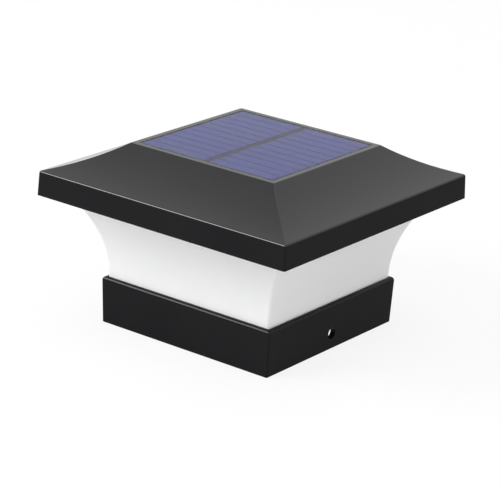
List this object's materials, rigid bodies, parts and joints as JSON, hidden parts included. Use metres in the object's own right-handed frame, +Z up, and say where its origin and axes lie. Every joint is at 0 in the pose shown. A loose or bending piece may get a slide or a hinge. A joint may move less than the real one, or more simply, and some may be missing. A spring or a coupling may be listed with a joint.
{
  "type": "deck post cap light",
  "caption": "Square solar light that caps a timber deck post: concave hipped roof with a sunk solar panel, flared frosted lens and an open skirt with side screw holes.",
  "frame": {"origin": "centre of the skirt's open lower rim, where the light stands or drops over its post", "axes": "+Z up, out of the post's end through the solar panel; the two side screw holes lie on X; the switch is on the +Y side of the floor"},
  "size_m": [0.1416, 0.1416, 0.0876],
  "materials": {
    "roof_cap": "glossy black",
    "base_skirt": "glossy black",
    "diffuser_lens": "frosted translucent white",
    "panel_board": "matt laminate",
    "solar_cells": "dark blue silicon",
    "cell_ribbon": "tinned",
    "panel_glazing": "clear, lightly frosted",
    "panel_bead": "cured sealant",
    "lead_sealant": "cured sealant",
    "reflector_plate": "white",
    "lower_gasket": "foam rubber",
    "upper_gasket": "foam rubber",
    "roof_screws": "zinc plated",
    "lens_screws": "zinc plated",
    "case_screws": "zinc plated",
    "board_screws": "zinc plated",
    "switch_screws": "zinc plated",
    "door_screw": "stainless",
    "battery_case": "matt black",
    "battery_cell": "nickel plated can",
    "battery_sleeve": "shrunk film",
    "positive_contact": "nickel plated spring steel",
    "negative_contact": "nickel plated spring steel",
    "battery_spring": "nickel plated spring steel",
    "battery_door": "satin black",
    "door_seal": "soft rubber",
    "light_board": "white solder mask",
    "leds": "phosphor-filled packages",
    "driver_chip": "moulded epoxy",
    "charge_inductor": "ferrite drum",
    "smoothing_capacitor": "sleeved can",
    "switch_housing": "tinned steel",
    "switch_base": "phenolic board",
    "switch_terminals": "tinned brass",
    "switch_slider": "satin black",
    "panel_lead_red": "insulated wire",
    "panel_lead_black": "insulated wire",
    "battery_lead_red": "insulated wire",
    "battery_lead_black": "insulated wire",
    "switch_lead": "insulated wire"
  },
  "bodies": {
    "light": {"roof_cap": "roof_cap", "base_skirt": "base_skirt", "diffuser_lens": "diffuser_lens", "panel_board": "panel_board", "solar_cells": "solar_cells", "cell_ribbon": "cell_ribbon", "panel_glazing": "panel_glazing", "panel_bead": "panel_bead", "lead_sealant": "lead_sealant", "reflector_plate": "reflector_plate", "lower_gasket": "lower_gasket", "upper_gasket": "upper_gasket", "roof_screws": "roof_screws", "lens_screws": "lens_screws", "case_screws": "case_screws", "board_screws": "board_screws", "switch_screws": "switch_screws", "battery_case": "battery_case", "battery_cell": "battery_cell", "battery_sleeve": "battery_sleeve", "positive_contact": "positive_contact", "negative_contact": "negative_contact", "battery_spring": "battery_spring", "light_board": "light_board", "leds": "leds", "driver_chip": "driver_chip", "charge_inductor": "charge_inductor", "smoothing_capacitor": "smoothing_capacitor", "switch_housing": "switch_housing", "switch_base": "switch_base", "switch_terminals": "switch_terminals", "panel_lead_red": "panel_lead_red", "panel_lead_black": "panel_lead_black", "battery_lead_red": "battery_lead_red", "battery_lead_black": "battery_lead_black", "switch_lead": "switch_lead"},
    "door": {"battery_door": "battery_door", "door_seal": "door_seal", "door_screw": "door_screw"},
    "switch_knob": {"switch_slider": "switch_slider"}
  },
  "joints": [
    {"name": "battery_door_hinge", "type": "hinge", "parent": "light", "child": "door", "pos_m": [-0.034, 0, 0.0184], "axis": [0, 1, 0], "range_deg": [0, 100]},
    {"name": "switch_slide", "type": "slide", "parent": "light", "child": "switch_knob", "axis": [1, 0, 0], "range_m": [0, 0.0022]}
  ]
}
